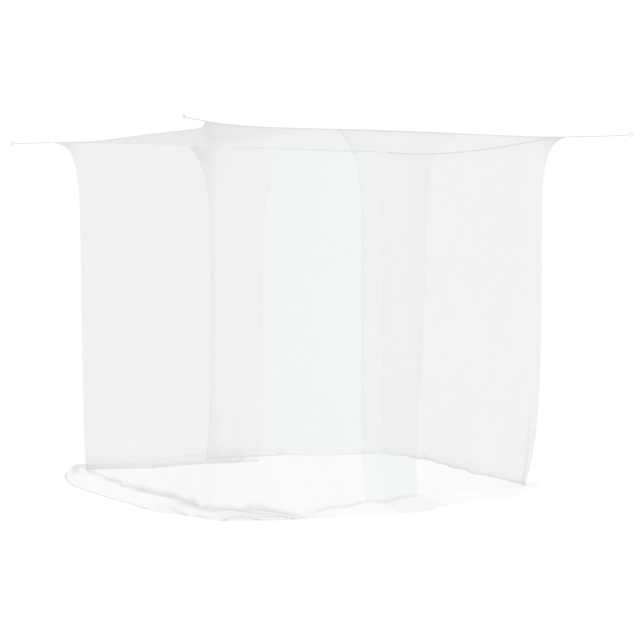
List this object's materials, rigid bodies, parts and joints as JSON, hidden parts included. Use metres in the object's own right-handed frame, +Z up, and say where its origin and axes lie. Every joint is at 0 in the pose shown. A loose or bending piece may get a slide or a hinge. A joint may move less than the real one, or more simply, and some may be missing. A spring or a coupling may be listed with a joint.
{
  "type": "mosquito net canopy",
  "caption": "Square-cut mosquito net canopy of sheer netting, hung by its corners over a bed, with overlapping curtains front and back and a skirt that lies on the floor.",
  "frame": {"origin": "the middle of the roof panel's four square corners, at the level the corner ties hold it; the floor is 2.1 m below", "axes": "+X along the front wall towards its right end, +Y from the front wall to the back wall, +Z up"},
  "size_m": [2.9536, 3.3379, 2.1476],
  "materials": {
    "netting": "sheer white polyester net, matte, with narrow double-folded hems",
    "tie_cord": "off-white braided cord"
  },
  "bodies": {
    "root": {"roof_panel": "netting", "front_curtain_inner": "netting", "front_curtain_outer": "netting", "side_wall_right": "netting", "back_curtain_outer": "netting", "back_curtain_inner": "netting", "side_wall_left": "netting", "tie_cord_left": "tie_cord", "tie_loop_left": "tie_cord", "tie_cord_near": "tie_cord", "tie_loop_near": "tie_cord", "tie_cord_right": "tie_cord", "tie_loop_right": "tie_cord", "tie_cord_back": "tie_cord", "tie_loop_back": "tie_cord"}
  },
  "joints": []
}
